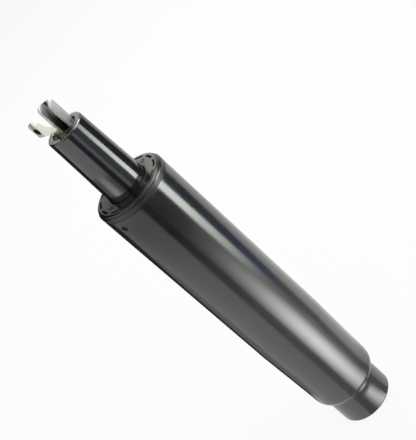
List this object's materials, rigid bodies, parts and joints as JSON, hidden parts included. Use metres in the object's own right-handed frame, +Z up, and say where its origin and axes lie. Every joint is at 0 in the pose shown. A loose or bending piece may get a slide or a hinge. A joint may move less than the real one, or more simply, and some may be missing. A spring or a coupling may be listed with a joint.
{
  "type": "chair gas lift cylinder",
  "caption": "Swivelling gas lift column for an office chair: tapered stand tube, sliding tapered spindle, plastic collar, cable bracket and release lever.",
  "frame": {"origin": "centre of the open end of the neck, where the column stands", "axes": "+Z up along the column's axis; the cable bracket opens towards -X"},
  "size_m": [0.05, 0.05, 0.3045],
  "materials": {
    "tube_black": "semi-gloss black paint",
    "spindle_black": "gloss black paint",
    "collar_plastic": "moulded, finely speckled",
    "bracket_zinc": "zinc plated sheet",
    "lever_cream": "satin moulded",
    "plug_dark": "dark die casting",
    "plate_steel": "plain steel",
    "bearing_steel": "ground steel",
    "ball_steel": "polished",
    "cage_brass": "stamped",
    "rod_chrome": "hard chrome",
    "tube_steel": "cold drawn",
    "clip_steel": "spring steel",
    "pin_steel": "ground steel",
    "inner_aluminium": "turned",
    "inner_plastic": "moulded",
    "rubber_black": "moulded"
  },
  "bodies": {
    "stand": {"stand_tube": "tube_black", "bottom_plate": "plate_steel", "guide_bush": "collar_plastic", "bearing_race_lower": "bearing_steel"},
    "cage": {"bearing_cage": "cage_brass", "bearing_balls": "ball_steel"},
    "rod": {"bearing_race_upper": "bearing_steel", "thrust_washer": "bearing_steel", "bumper": "rubber_black", "piston_rod": "rod_chrome", "foot_washer": "plate_steel", "rod_clip": "clip_steel", "piston": "inner_aluminium", "piston_seal": "rubber_black"},
    "spindle": {"spindle_tube": "spindle_black", "rod_guide": "inner_aluminium", "seal_washer": "plate_steel", "rod_seal": "rubber_black", "tube_seat": "inner_plastic", "gas_tube": "tube_steel", "valve_body": "inner_aluminium", "valve_body_seals": "rubber_black", "valve_spacer": "inner_plastic", "valve_pin_seals": "rubber_black", "valve_cap": "cage_brass", "head_plug": "plug_dark", "cable_bracket": "bracket_zinc", "pivot_pin": "pin_steel"},
    "valve": {"valve_pin": "pin_steel"},
    "lever": {"release_lever": "lever_cream"}
  },
  "joints": [
    {"name": "seat_swivel", "type": "hinge", "parent": "stand", "child": "rod", "pos_m": [0, 0, 0.012], "axis": [0, 0, 1], "continuous": true},
    {"name": "cage_swivel", "type": "hinge", "parent": "stand", "child": "cage", "pos_m": [0, 0, 0.012], "axis": [0, 0, 1], "continuous": true},
    {"name": "height_slide", "type": "slide", "parent": "rod", "child": "spindle", "axis": [0, 0, 1], "range_m": [0, 0.115]},
    {"name": "lever_pull", "type": "hinge", "parent": "spindle", "child": "lever", "pos_m": [-0.00475, 0.00297, 0.2831], "axis": [0.5299, 0.848, 0], "range_deg": [0, 12.5]},
    {"name": "valve_press", "type": "slide", "parent": "spindle", "child": "valve", "axis": [0, 0, -1], "range_m": [0, 0.0012], "stiffness_N_per_m": 100, "springref_m": -0.002}
  ],
  "couplings": [
    {"joint": "cage_swivel", "follows": "seat_swivel", "ratio": 0.5},
    {"joint": "lever_pull", "follows": "valve_press", "rad_per_m": 178.57}
  ]
}
